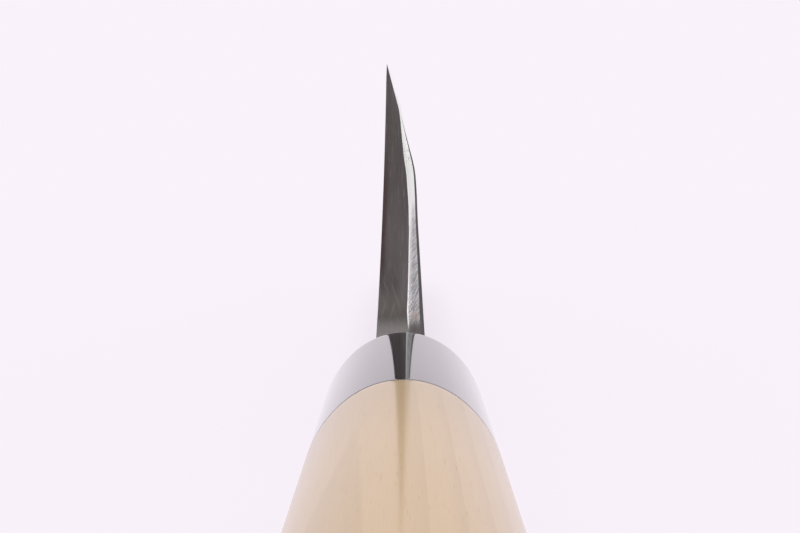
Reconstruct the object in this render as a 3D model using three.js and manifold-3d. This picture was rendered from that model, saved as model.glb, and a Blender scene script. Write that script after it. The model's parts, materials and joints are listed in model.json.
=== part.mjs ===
// Deba knife: a heavy single-bevel kitchen knife with an oval magnolia handle.
// Millimetres, +Z up. The knife stands on its spine with the cutting edge up and the tip towards +Y.
// The bevelled side faces +X, the hollow-ground flat side faces -X.

import * as THREE from 'three';
import { mergeVertices } from 'three/addons/utils/BufferGeometryUtils.js';
import Module from 'manifold-3d';

// Blade: overall shape
const bladeLength = 195;
const heelHeight = 59.35;
const tipHeight = 15.5;
const heelGap = 15;
const spineStraightShare = 0.45;
const edgeLeadIn = 0.06;
const edgeCurvePower = 2.6;
const tipShare = 0.998;

// Blade: cross-section at the heel, measured from the handle's middle plane
const edgeOffset = -2.32;
const spineLeft = -4.9;
const spineThickness = 9.2;
const bevelHeight = 14.1;
const ridgeOffset = 1.46;
const spineChamfer = 0.5;
const edgeSteelThickness = 1.05;
const weldGap = 0.03;

// Blade: how it thins towards the tip
const tipOffset = -0.4;
const straightTaper = 0.5;
const tipTaper = 0.39;
const tipTaperPower = 2.5;
const thinningStart = 0.5;
const bevelShareAtTip = 0.72;
const bevelBlend = 4;
const layerShareAtTip = 0.4;
const chamferShareOfLayer = 0.4;
const chamferShareOfHeight = 0.2;

// Hollow of the flat side
const hollowDepth = 0.24;
const hollowTop = 0.97;
const hollowBottomAtHeel = 0.3;
const hollowBottom = 0.12;
const hollowRunIn = 0.12;
const hollowFadeStart = 0.8;
const hollowFadeEnd = 0.98;

// Neck and tang
const neckFront = 0.8;
const neckTop = 20;
const neckFillet = 5.5;
const neckRise = 1.6;
const neckNarrowing = 0.16;
const tangHalfWidth = 2.5;
const tangBottom = 5.2;
const tangTop = 18.6;
const tangStraight = 14;
const tangLength = 94;
const tangEndHalfWidth = 1.7;
const tangEndBottom = 10.2;
const tangEndTop = 17;
const tangInsideNeck = 6;

// Ground corner of the heel, on the bevelled side
const cornerTop = 52.6;
const cornerBottom = 20.5;
const cornerWidths = [0, 0.93, 1.1, 1.27, 1.7, 2.2, 0.4];
const cornerDepthRatio = 0.85;
const cornerOverrun = 6;

// Handle and ferrule
const handleLength = 133;
const ferruleLength = 28;
const frontHalfWidth = 10.5;
const frontHalfHeight = 12.84;
const handleTaper = 0.0118;
const ferruleWall = 2.6;
const ferruleLip = 1.2;
const buttRound = 2.2;
const spigotGap = 0.15;
const spigotSetback = 0.4;
const slotClearance = 0.6;
const slotEndGap = 1.5;
const beddingDepth = 12;

// Fineness of the faceted surfaces
const ovalSides = 56;
const roundSteps = 4;
const bladeSteps = 34;
const stationPower = 1.35;
const neckSteps = 5;
const hollowSteps = 11;
const filletSteps = 8;

// Geometry helpers

function smoothStep(start, end, value) {
  return THREE.MathUtils.smoothstep(value, start, end);
}

// Turns a list of rings of equal length into one closed body. With loop true the last ring joins the first.
function loft(rings, loop = false) {
  const sides = rings[0].length;
  const positions = rings.flat().flatMap((point) => [point.x, point.y, point.z]);
  const indices = [];
  const ringPairs = loop ? rings.length : rings.length - 1;
  for (let ring = 0; ring < ringPairs; ring += 1) {
    const next = (ring + 1) % rings.length;
    for (let side = 0; side < sides; side += 1) {
      const beside = (side + 1) % sides;
      const a = ring * sides + side;
      const b = ring * sides + beside;
      const c = next * sides + beside;
      const d = next * sides + side;
      indices.push(a, b, c, a, c, d);
    }
  }
  if (!loop) {
    const last = (rings.length - 1) * sides;
    for (const [i, j, k] of endFaces(rings[0])) {
      indices.push(k, j, i);
    }
    for (const [i, j, k] of endFaces(rings[rings.length - 1])) {
      indices.push(last + i, last + j, last + k);
    }
  }
  const geometry = new THREE.BufferGeometry();
  geometry.setAttribute('position', new THREE.Float32BufferAttribute(positions, 3));
  geometry.setIndex(indices);
  return facingOut(geometry);
}

// Every ring lies in a plane across the knife or in a level plane, so its outline is flat.
function endFaces(ring) {
  const level = ring.every((point) => point.z === ring[0].z);
  const outline = ring.map((point) => new THREE.Vector2(point.x, level ? point.y : point.z));
  const turn = THREE.ShapeUtils.isClockWise(outline) ? -1 : 1;
  const faces = THREE.ShapeUtils.triangulateShape(turn < 0 ? outline.toReversed() : outline, []);
  const count = ring.length;
  return turn < 0 ? faces.map(([i, j, k]) => [count - 1 - k, count - 1 - j, count - 1 - i]) : faces;
}

function signedVolume(geometry) {
  const position = geometry.getAttribute('position');
  const index = geometry.getIndex();
  const corners = [new THREE.Vector3(), new THREE.Vector3(), new THREE.Vector3()];
  let volume = 0;
  for (let i = 0; i < index.count; i += 3) {
    corners.forEach((corner, k) => corner.fromBufferAttribute(position, index.getX(i + k)));
    volume += corners[0].dot(corners[1].clone().cross(corners[2])) / 6;
  }
  return volume;
}

function facingOut(geometry) {
  if (signedVolume(geometry) < 0) {
    const index = geometry.getIndex();
    for (let i = 0; i < index.count; i += 3) {
      const second = index.getX(i + 1);
      index.setX(i + 1, index.getX(i + 2));
      index.setX(i + 2, second);
    }
  }
  return geometry;
}

const wasm = await Module();
wasm.setup();

function toSolid(geometry) {
  const bare = geometry.clone();
  bare.deleteAttribute('normal');
  bare.deleteAttribute('uv');
  const merged = mergeVertices(bare);
  const vertProperties = new Float32Array(merged.getAttribute('position').array);
  const triVerts = new Uint32Array(merged.getIndex().array);
  return new wasm.Manifold(new wasm.Mesh({ numProp: 3, vertProperties, triVerts }));
}

function toGeometry(solid) {
  const mesh = solid.getMesh();
  const geometry = new THREE.BufferGeometry();
  geometry.setAttribute('position', new THREE.Float32BufferAttribute(mesh.vertProperties, 3));
  geometry.setIndex(Array.from(mesh.triVerts));
  return geometry;
}

// Blade surfaces. Distances along Y count from the front of the ferrule.

const uraLean = (edgeOffset - spineLeft) / heelHeight;
const hiraLean = (spineLeft + spineThickness - ridgeOffset) / (heelHeight - bevelHeight);
const uraTaper = (tipOffset - edgeOffset + uraLean * (heelHeight - tipHeight)) / bladeLength;
const neckMiddle = spineLeft + spineThickness / 2;

function shareAlong(y) {
  return THREE.MathUtils.clamp((y - heelGap) / bladeLength, 0, 1);
}

function edgeLine(share) {
  const drop = edgeLeadIn * share + (1 - edgeLeadIn) * share ** edgeCurvePower;
  return heelHeight - (heelHeight - tipHeight) * drop;
}

function spineLine(y) {
  const curved = Math.max(0, (shareAlong(y) - spineStraightShare) / (1 - spineStraightShare));
  const towardsHandle = 1 - smoothStep(neckFront, heelGap - 2, y);
  return tipHeight * curved ** 2 + neckRise * towardsHandle;
}

function spineThicknessAt(share) {
  const nearTip = Math.max(0, (share - thinningStart) / (1 - thinningStart));
  return spineThickness * (1 - straightTaper * share - tipTaper * nearTip ** tipTaperPower);
}

// Flat plane of the hollow side
function uraPlane(y, z) {
  return edgeOffset - uraLean * (heelHeight - z) + uraTaper * Math.max(0, y - heelGap);
}

// Corner points of the blade at one place along its length
function bladeSection(y) {
  const share = shareAlong(y);
  const zSpine = spineLine(y);
  const zEdge = edgeLine(share);
  const height = zEdge - zSpine;
  const bevel = (bevelHeight ** -bevelBlend + (bevelShareAtTip * height) ** -bevelBlend) ** (-1 / bevelBlend);
  const zRidge = zEdge - bevel;
  const zBase = spineLine(Math.max(y, heelGap));
  const xBase = uraPlane(y, zBase) + spineThicknessAt(share);
  const xRidge = xBase - hiraLean * (zRidge - zBase);
  const xSpine = xBase - hiraLean * (zSpine - zBase);
  const ridgeThickness = xRidge - uraPlane(y, zRidge);
  const layer = Math.min(edgeSteelThickness, layerShareAtTip * ridgeThickness);
  const chamfer = Math.min(spineChamfer, chamferShareOfHeight * height, chamferShareOfLayer * layer);
  return { y, share, zSpine, zEdge, zRidge, xRidge, xSpine, bevel, ridgeThickness, layer, chamfer };
}

// Draws the neck in towards its middle as it nears the ferrule.
function narrowed(y, x, z) {
  const inward = neckNarrowing * (1 - smoothStep(neckFront, heelGap, y));
  return new THREE.Vector3(neckMiddle + (x - neckMiddle) * (1 - inward), y, z);
}

function hollowAt(section, z) {
  const up = (z - section.zSpine) / (section.zEdge - section.zSpine);
  const runIn = smoothStep(0, hollowRunIn, section.share);
  const bottom = THREE.MathUtils.lerp(hollowBottomAtHeel, hollowBottom, runIn);
  const across = THREE.MathUtils.clamp((up - bottom) / (hollowTop - bottom), 0, 1);
  const fade = 1 - smoothStep(hollowFadeStart, hollowFadeEnd, section.share);
  return hollowDepth * fade * Math.sin(Math.PI * across);
}

// Places along the length where the section is taken, closer together towards the tip
const bladeStations = [];
for (let step = 0; step < neckSteps; step += 1) {
  bladeStations.push(THREE.MathUtils.lerp(neckFront, heelGap, step / neckSteps));
}
for (let step = 0; step <= bladeSteps; step += 1) {
  const share = tipShare * (1 - (1 - step / bladeSteps) ** stationPower);
  bladeStations.push(heelGap + bladeLength * share);
}

// Soft iron body: from the weld to the bevel, the ridge, the flat and the spine
function bodyRing(y) {
  const s = bladeSection(y);
  const layer = s.layer + weldGap;
  const weldTop = s.zEdge - s.bevel * (layer / s.ridgeThickness);
  const hiraFoot = s.xSpine - hiraLean * s.chamfer;
  return [
    narrowed(y, uraPlane(y, s.zSpine) + layer, s.zSpine),
    narrowed(y, uraPlane(y, weldTop) + layer, weldTop),
    narrowed(y, s.xRidge, s.zRidge),
    narrowed(y, hiraFoot, s.zSpine + s.chamfer),
    narrowed(y, s.xSpine - s.chamfer, s.zSpine),
  ];
}

// Hard edge steel: the whole flat side, up to the cutting edge
function edgeSteelRing(y) {
  const s = bladeSection(y);
  const weldTop = s.zEdge - s.bevel * (s.layer / s.ridgeThickness);
  const ring = [
    narrowed(y, uraPlane(y, s.zSpine) + s.chamfer, s.zSpine),
    narrowed(y, uraPlane(y, s.zSpine + s.chamfer), s.zSpine + s.chamfer),
  ];
  for (let step = 1; step < hollowSteps; step += 1) {
    const z = THREE.MathUtils.lerp(s.zSpine + s.chamfer, s.zEdge, step / hollowSteps);
    ring.push(narrowed(y, uraPlane(y, z) + hollowAt(s, z), z));
  }
  ring.push(
    narrowed(y, uraPlane(y, s.zEdge), s.zEdge),
    narrowed(y, uraPlane(y, weldTop) + s.layer, weldTop),
    narrowed(y, uraPlane(y, s.zSpine) + s.layer, s.zSpine),
  );
  return ring;
}

// Removes everything behind the heel and above the neck, with a round inside corner.
function heelCutter() {
  const behind = -5;
  const above = heelHeight + 10;
  const width = 40;
  const outline = new THREE.Shape();
  outline.moveTo(behind, neckTop);
  outline.lineTo(heelGap - neckFillet, neckTop);
  outline.absarc(heelGap - neckFillet, neckTop + neckFillet, neckFillet, -Math.PI / 2, 0, false);
  outline.lineTo(heelGap, above);
  outline.lineTo(behind, above);
  outline.closePath();
  const cutter = new THREE.ExtrudeGeometry(outline, {
    depth: width,
    bevelEnabled: false,
    curveSegments: filletSteps,
  });
  const sideways = new THREE.Matrix4().makeBasis(
    new THREE.Vector3(0, 1, 0),
    new THREE.Vector3(0, 0, 1),
    new THREE.Vector3(1, 0, 0),
  );
  cutter.applyMatrix4(sideways);
  cutter.translate(-width / 2, 0, 0);
  return cutter;
}

// Outline of the bevelled side at the heel: the bevel above the ridge, the flat below it
function omoteAtHeel(z) {
  const zRidge = heelHeight - bevelHeight;
  if (z > zRidge) {
    return THREE.MathUtils.lerp(ridgeOffset, edgeOffset, (z - zRidge) / bevelHeight);
  }
  return ridgeOffset + hiraLean * (zRidge - z);
}

// Removes the sharp corner between the heel face and the bevelled side, wider towards the neck.
function heelCornerCutter() {
  const last = cornerWidths.length - 1;
  const rings = cornerWidths.map((width, step) => {
    const z = THREE.MathUtils.lerp(cornerTop, cornerBottom, step / last);
    const x = omoteAtHeel(z);
    const reach = cornerOverrun / cornerDepthRatio;
    const behind = heelGap - cornerOverrun;
    const ahead = heelGap + width * cornerDepthRatio + cornerOverrun;
    return [
      new THREE.Vector3(x - width - reach, behind, z),
      new THREE.Vector3(x + reach, behind, z),
      new THREE.Vector3(x + reach, ahead, z),
    ];
  });
  return loft(rings);
}

function tangRing(y, halfWidth, bottom, top) {
  return [
    new THREE.Vector3(-halfWidth, y, bottom),
    new THREE.Vector3(halfWidth, y, bottom),
    new THREE.Vector3(halfWidth, y, top),
    new THREE.Vector3(-halfWidth, y, top),
  ];
}

// The tang, or with some extra all round the slot that it goes into
function tang(extra = 0, endGap = 0) {
  return loft([
    tangRing(tangInsideNeck, tangHalfWidth + extra, tangBottom - extra, tangTop + extra),
    tangRing(-tangStraight, tangHalfWidth + extra, tangBottom - extra, tangTop + extra),
    tangRing(-tangLength - endGap, tangEndHalfWidth + extra, tangEndBottom - extra, tangEndTop + extra),
  ]);
}

// Oval of the handle at one place, with its back line level with the spine
function oval(y, inset = 0) {
  const halfWidth = frontHalfWidth - handleTaper * y;
  const halfHeight = frontHalfHeight - handleTaper * y;
  const ring = [];
  for (let side = 0; side < ovalSides; side += 1) {
    const angle = (2 * Math.PI * side) / ovalSides - Math.PI / 2;
    const x = (halfWidth - inset) * Math.cos(angle);
    const z = halfHeight + (halfHeight - inset) * Math.sin(angle);
    ring.push(new THREE.Vector3(x, y, z));
  }
  return ring;
}

// Rings of a rounded end: direction is the way the end faces along Y.
function roundedEnd(y, radius, direction) {
  const rings = [];
  for (let step = 0; step <= roundSteps; step += 1) {
    const angle = (Math.PI / 2) * (step / roundSteps);
    const back = radius * (1 - Math.sin(angle));
    rings.push(oval(y - direction * back, radius * (1 - Math.cos(angle))));
  }
  return rings;
}

function ferruleGeometry() {
  return loft([
    oval(-ferruleLength, ferruleWall),
    oval(-ferruleLength),
    ...roundedEnd(0, ferruleLip, 1),
    oval(0, ferruleWall),
  ], true);
}

function handleGeometry() {
  const outside = loft([
    ...roundedEnd(-handleLength, buttRound, -1).reverse(),
    oval(-ferruleLength),
    oval(-ferruleLength, ferruleWall + spigotGap),
    oval(-spigotSetback, ferruleWall + spigotGap),
  ]);
  const slot = tang(slotClearance, slotEndGap);
  return toGeometry(toSolid(outside).subtract(toSolid(slot)));
}

// Resin that seals the mouth of the slot and holds the tang
function beddingGeometry() {
  const sleeve = (y, extra) => {
    return tangRing(y, tangHalfWidth + extra, tangBottom - extra, tangTop + extra);
  };
  return loft([
    sleeve(-beddingDepth, slotClearance),
    sleeve(-spigotSetback, slotClearance),
    sleeve(-spigotSetback, 0),
    sleeve(-beddingDepth, 0),
  ], true);
}

function bladeBodyGeometry() {
  const forged = toSolid(loft(bladeStations.map(bodyRing)));
  const cut = forged.subtract(toSolid(heelCutter())).subtract(toSolid(heelCornerCutter()));
  return toGeometry(cut.add(toSolid(tang())));
}

function edgeSteelGeometry() {
  const forged = toSolid(loft(bladeStations.map(edgeSteelRing)));
  return toGeometry(forged.subtract(toSolid(heelCutter())));
}

// Finishes

const softIron = new THREE.MeshStandardMaterial({ color: 0x8e8b8a, roughness: 0.42, metalness: 1 });
const edgeSteel = new THREE.MeshStandardMaterial({ color: 0x7b7674, roughness: 0.3, metalness: 1 });
const horn = new THREE.MeshStandardMaterial({ color: 0x2b2728, roughness: 0.12, metalness: 0 });
const magnolia = new THREE.MeshStandardMaterial({ color: 0xcdb296, roughness: 0.5, metalness: 0 });
const resin = new THREE.MeshStandardMaterial({ color: 0x3a3430, roughness: 0.4, metalness: 0 });

// Assembly, with the middle of the whole length at Y zero

const knife = new THREE.Group();
knife.position.y = (handleLength - heelGap - bladeLength * tipShare) / 2;

function addPiece(name, geometry, material) {
  const mesh = new THREE.Mesh(geometry, material);
  mesh.name = name;
  knife.add(mesh);
}

addPiece('blade_body', bladeBodyGeometry(), softIron);
addPiece('edge_steel', edgeSteelGeometry(), edgeSteel);
addPiece('ferrule', ferruleGeometry(), horn);
addPiece('handle', handleGeometry(), magnolia);
addPiece('tang_bedding', beddingGeometry(), resin);

export default knife;
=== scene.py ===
"""Deba knife with finished surfaces, standing on its spine in a small white studio."""

import functools
import json
import math
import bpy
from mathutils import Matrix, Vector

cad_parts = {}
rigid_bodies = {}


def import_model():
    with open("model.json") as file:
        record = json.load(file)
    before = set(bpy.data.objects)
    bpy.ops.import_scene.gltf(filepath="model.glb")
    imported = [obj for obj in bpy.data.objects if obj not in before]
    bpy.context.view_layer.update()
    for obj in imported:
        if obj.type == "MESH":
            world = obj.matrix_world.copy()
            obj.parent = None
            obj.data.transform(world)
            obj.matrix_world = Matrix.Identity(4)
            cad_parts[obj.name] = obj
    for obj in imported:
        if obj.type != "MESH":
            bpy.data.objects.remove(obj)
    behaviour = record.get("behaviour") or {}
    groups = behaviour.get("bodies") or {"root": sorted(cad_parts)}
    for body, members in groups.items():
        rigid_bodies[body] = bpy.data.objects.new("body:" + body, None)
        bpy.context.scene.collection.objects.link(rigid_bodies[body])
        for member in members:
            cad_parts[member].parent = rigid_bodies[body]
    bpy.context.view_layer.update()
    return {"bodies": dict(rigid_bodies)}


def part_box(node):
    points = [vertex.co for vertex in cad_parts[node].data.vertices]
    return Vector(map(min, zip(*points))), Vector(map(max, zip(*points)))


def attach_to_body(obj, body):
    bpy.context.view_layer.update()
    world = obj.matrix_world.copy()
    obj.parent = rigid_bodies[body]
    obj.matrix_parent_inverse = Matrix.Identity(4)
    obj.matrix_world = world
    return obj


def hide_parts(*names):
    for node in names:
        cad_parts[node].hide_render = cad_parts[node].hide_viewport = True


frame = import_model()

from types import SimpleNamespace

import bmesh
import bpy
from bpy.props import FloatProperty, FloatVectorProperty, PointerProperty
from mathutils import Euler, Vector

bl_info = {
    "name": "Deba Knife",
    "version": (1, 0, 0),
    "blender": (4, 5, 0),
    "location": "3D View > Sidebar > Deba Knife",
    "description": "Builds a deba knife with its finishes and a small studio",
    "category": "Object",
}

BODY = next(iter(frame["bodies"]))
MM = 0.001

FERRULE_BACK, FRONT = [corner.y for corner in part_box("ferrule")]
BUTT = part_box("handle")[0].y
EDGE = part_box("edge_steel")[1].z

# Ground corner of the heel: height above the spine, width across, width of the dark outer band
HEEL_CORNER = (
    (23.9, 2.48, 0.6),
    (27.0, 2.11, 0.46),
    (30.9, 1.75, 0.4),
    (34.3, 1.49, 0.35),
    (36.5, 1.31, 0.32),
    (39.7, 1.19, 0.29),
    (42.85, 1.26, 0.27),
    (46.0, 1.2, 0.2),
    (49.0, 0.72, 0.1),
    (52.1, 0.15, 0.02),
    (53.35, 0.0, 0.0),
)


# Sizes and colours


def length(name, description, millimetres):
    return FloatProperty(
        name=name, description=description, default=millimetres * MM, unit="LENGTH", precision=5
    )


def share(name, description, default):
    return FloatProperty(name=name, description=description, default=default, subtype="FACTOR")


def angle(name, description, degrees):
    return FloatProperty(name=name, description=description, default=math.radians(degrees), subtype="ANGLE")


def colour(name, description, default):
    return FloatVectorProperty(
        name=name, description=description, default=default, subtype="COLOR", size=3, min=0.0, max=1.0
    )


class BladeSizes(bpy.types.PropertyGroup):
    """Sizes of the forged blade"""

    heel_gap: length("Heel gap", "From the ferrule front to the heel face", 15.0)
    blade_length: length("Blade length", "From the heel face to the tip", 195.0)
    heel_height: length("Heel height", "From the spine to the edge at the heel", EDGE / MM)
    tip_height: length("Tip height", "From the standing plane to the tip", 15.5)
    edge_offset: length("Edge offset", "Edge from the handle's middle plane at the heel", -2.32)
    spine_left: length("Spine left", "Hollow side of the spine from the middle plane", -4.9)
    spine_thickness: length("Spine thickness", "Thickness of the spine at the heel", 9.2)
    bevel_height: length("Bevel height", "Height of the bevel at the heel", 14.1)
    ridge_offset: length("Ridge offset", "Ridge from the middle plane at the heel", 1.46)
    spine_round: length("Spine round", "Rounding of the long corners of the spine", 0.42)
    ridge_round: length("Ridge round", "Half-width of the softened ridge line", 0.3)
    heel_ridge_round: length("Ridge round at the heel", "Half-width of the ridge line at the heel", 1.1)
    heel_swell: length("Heel swell", "Fullness of the flat below the ridge at the heel", 0.09)
    layer: length("Edge steel", "Thickness of the edge steel", 1.05)
    tip_offset: length("Tip offset", "Tip from the middle plane", -0.4)
    hollow_depth: length("Hollow at the heel", "Depth of the hollow back at the heel", 0.24)
    hollow_deepest: length("Deepest hollow", "Depth of the hollow back farther on", 0.5)
    weld_wave: share("Weld wave", "Unevenness of the weld line", 0.13)
    neck_front: length("Neck front", "Gap from the ferrule to the neck", 0.8)
    neck_top: length("Neck top", "Height of the neck", 20.0)
    neck_fillet: length("Neck fillet", "Radius between the neck and the heel face", 5.5)
    neck_rise: length("Neck rise", "Lift of the neck's underside at the ferrule", 1.6)
    neck_narrowing: share("Neck narrowing", "Share by which the neck narrows", 0.16)
    corner_lean: share("Corner lean", "Depth of the ground corner over its width", 0.85)
    band_lean: share("Band lean", "Depth of the corner's outer band over its width", 1.25)
    neck_corner: share("Neck corner", "Share of the ground corner that is left at the ferrule", 0.5)
    heel_round: length("Heel round", "Rounding of the hollow side's heel corner", 0.03)
    neck_round: length("Neck round", "Rounding of the hollow side's neck corner", 0.4)


class HandleSizes(bpy.types.PropertyGroup):
    """Sizes of the handle, the ferrule and the tang"""

    handle_length: length("Handle length", "From the butt to the ferrule front", (FRONT - BUTT) / MM)
    ferrule_length: length("Ferrule length", "Length of the ferrule", (FRONT - FERRULE_BACK) / MM)
    half_width: length("Half width", "Half the width of the ferrule front", 10.5)
    half_height: length("Half height", "Half the height of the ferrule front", 12.84)
    taper: share("Taper", "Growth of the half sizes towards the butt", 0.0118)
    wall: length("Ferrule wall", "Thickness of the ferrule's wall", 2.6)
    lip: length("Ferrule lip", "Rounding of the ferrule front", 1.2)
    joint: length("Joint", "Rounding on both sides of the joint with the wood", 0.12)
    butt_round: length("Butt round", "Rounding of the butt", 2.2)
    spigot_gap: length("Spigot gap", "Gap between the spigot and the ferrule", 0.15)
    spigot_setback: length("Spigot setback", "Spigot front behind the ferrule front", 0.4)
    tang_half: length("Tang half width", "Half the thickness of the tang", 2.5)
    tang_bottom: length("Tang bottom", "Lower side of the tang", 5.2)
    tang_top: length("Tang top", "Upper side of the tang", 18.6)
    tang_straight: length("Tang straight", "Length of the tang's even part", 14.0)
    tang_length: length("Tang length", "Length of the tang behind the ferrule front", 94.0)
    tang_end_half: length("Tang end half width", "Half the thickness of the tang's end", 1.7)
    tang_end_bottom: length("Tang end bottom", "Lower side of the tang's end", 10.2)
    tang_end_top: length("Tang end top", "Upper side of the tang's end", 17.0)
    slot_clearance: length("Slot clearance", "Room around the tang in its slot", 0.6)
    slot_end_gap: length("Slot end gap", "Room beyond the end of the tang", 1.5)
    bedding_depth: length("Bedding depth", "Depth of the resin in the slot", 12.0)


class FinishColours(bpy.types.PropertyGroup):
    """Colours of the metals, the horn, the wood and the resin"""

    heel: colour("Heel face", "Ground heel face", (0.262, 0.242, 0.235))
    # Painted highlight for the foot of the heel face and the fillet, standing for the light above that they
    # reflect.
    heel_foot_highlight: colour("Heel foot", "Rubbed foot of the heel face", (0.4, 0.38, 0.364))
    heel_steel: colour("Heel strip", "Edge steel on the heel face", (0.135, 0.096, 0.092))
    corner: colour("Heel corner", "Bright ground corner", (0.86, 0.87, 0.85))
    corner_worn: colour("Heel corner, worn", "Dull lower part of the ground corner", (0.5, 0.51, 0.505))
    corner_foot: colour("Heel corner, foot", "Dark foot of the ground corner", (0.115, 0.096, 0.102))
    # Dark colour of the corner's outer band.
    dark_band_tint: colour("Oxide", "Dark outer band of the corner", (0.11, 0.104, 0.104))
    rust: colour("Rust", "Faint stain at the foot of the heel", (0.55, 0.36, 0.28))
    iron: colour("Iron", "Flat of the bevelled side", (0.66, 0.65, 0.64))
    iron_haze: colour("Iron haze", "Misty soft iron of the bevel", (0.7, 0.692, 0.697))
    steel: colour("Steel", "Bright edge steel", (0.8, 0.791, 0.798))
    forged: colour("Forged", "Dull neck and tang", (0.38, 0.365, 0.355))
    horn: colour("Horn", "Black horn", (0.006, 0.0042, 0.006))
    horn_streak: colour("Horn streak", "Paler streaks in the horn", (0.022, 0.016, 0.015))
    wood: colour("Wood", "Pale magnolia", (0.67, 0.475, 0.27))
    wood_late: colour("Late wood", "Darker growth lines", (0.555, 0.385, 0.205))
    wood_end: colour("End grain", "Darker end grain of the butt", (0.36, 0.235, 0.13))
    wood_pore: colour("Pores", "Fine dark pores", (0.27, 0.18, 0.115))
    resin: colour("Resin", "Dull dark resin", (0.045, 0.036, 0.03))


class StageSizes(bpy.types.PropertyGroup):
    """Camera, background and light of the small studio"""

    background: colour("Background", "Faintly pink white", (0.956, 0.888, 0.956))
    floor_size: length("Floor size", "Side of the floor", 12000.0)
    shadow: share("Shadow", "Share of the floor's colour that takes shade near the knife", 0.11)
    contact: share("Contact shadow", "Further share right under the knife", 0.32)
    back_light: share("Back light", "Brightness of the room behind the camera", 0.12)
    left_light: share("Left light", "Brightness of the room low on the hollow side", 0.5)
    light: colour("Light", "White of the room's light", (0.932, 0.92, 0.93))
    lamp_energy: FloatProperty(
        name="Lamp", description="Power of the overhead lamp", default=2.0, unit="POWER"
    )
    camera_back: length("Camera back", "Camera behind the ferrule front", 140.0)
    camera_height: length("Camera height", "Camera above the floor", 54.1)
    camera_pitch: angle("Pitch", "Downward tilt", 8.22)
    camera_turn: angle("Turn", "Turn to the left", 0.2025)
    focal_pixels: FloatProperty(name="Focal length", description="In image pixels", default=1132.0)


# Small maths


def clamp(value, low=0.0, high=1.0):
    return max(low, min(high, value))


def blend(start, end, amount):
    return start + (end - start) * amount


def ease(start, end, value):
    amount = clamp((value - start) / (end - start))
    return amount * amount * (3.0 - 2.0 * amount)


def spread(start, end, count):
    """Even values from start to end, both included."""
    return [blend(start, end, step / count) for step in range(count + 1)]


def corner_sizes(height):
    """Width of the heel's ground corner and of its dark band at a height, in metres."""
    level = height / MM
    for (low, width, band), (high, next_width, next_band) in zip(HEEL_CORNER, HEEL_CORNER[1:]):
        if low <= level <= high:
            amount = (level - low) / (high - low)
            return blend(width, next_width, amount) * MM, blend(band, next_band, amount) * MM
    return 0.0, 0.0


# Meshes


class Draft:
    """Collects patches of a surface and makes one closed piece of them."""

    MERGE = 0.0002 * MM
    SHARP = math.radians(28.0)

    def __init__(self, name):
        self.name = name
        self.mesh = bmesh.new()
        self.finishes = []

    def slot(self, finish):
        if finish not in self.finishes:
            self.finishes.append(finish)
        return self.finishes.index(finish)

    def fill(self, corners, finish):
        face = self.mesh.faces.new(corners)
        face.material_index = self.slot(finish)
        face.smooth = True

    def face(self, points, finish):
        self.fill([self.mesh.verts.new(point) for point in points], finish)

    def patch(self, rows, finish, around=False):
        """Joins neighbouring rows of points with four-sided faces, in one finish or one for each strip."""
        rings = [[self.mesh.verts.new(point) for point in row] for row in rows]
        for near, far in zip(rings, rings[1:]):
            for side in range(len(near) if around else len(near) - 1):
                beside = (side + 1) % len(near)
                strip = finish[side] if isinstance(finish, list) else finish
                self.fill((near[side], near[beside], far[beside], far[side]), strip)

    def piece(self, hidden=None):
        """Welds the patches and turns them outwards; large angles and a hidden finish's rim stay sharp."""
        bmesh.ops.remove_doubles(self.mesh, verts=self.mesh.verts, dist=self.MERGE)
        bmesh.ops.recalc_face_normals(self.mesh, faces=self.mesh.faces)
        concealed = self.slot(hidden) if hidden else None
        for edge in self.mesh.edges:
            slots = {face.material_index for face in edge.link_faces}
            rim = concealed in slots and len(slots) > 1
            edge.smooth = not rim and edge.calc_face_angle(0.0) < self.SHARP
        data = bpy.data.meshes.new(self.name)
        self.mesh.to_mesh(data)
        self.mesh.free()
        for finish in self.finishes:
            data.materials.append(finish)
        piece = bpy.data.objects.new(self.name, data)
        bpy.context.scene.collection.objects.link(piece)
        return piece


def seat(piece, node):
    """Puts a finished piece in the place of its solid."""
    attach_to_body(piece, BODY)
    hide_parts(node)


# Blade


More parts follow.
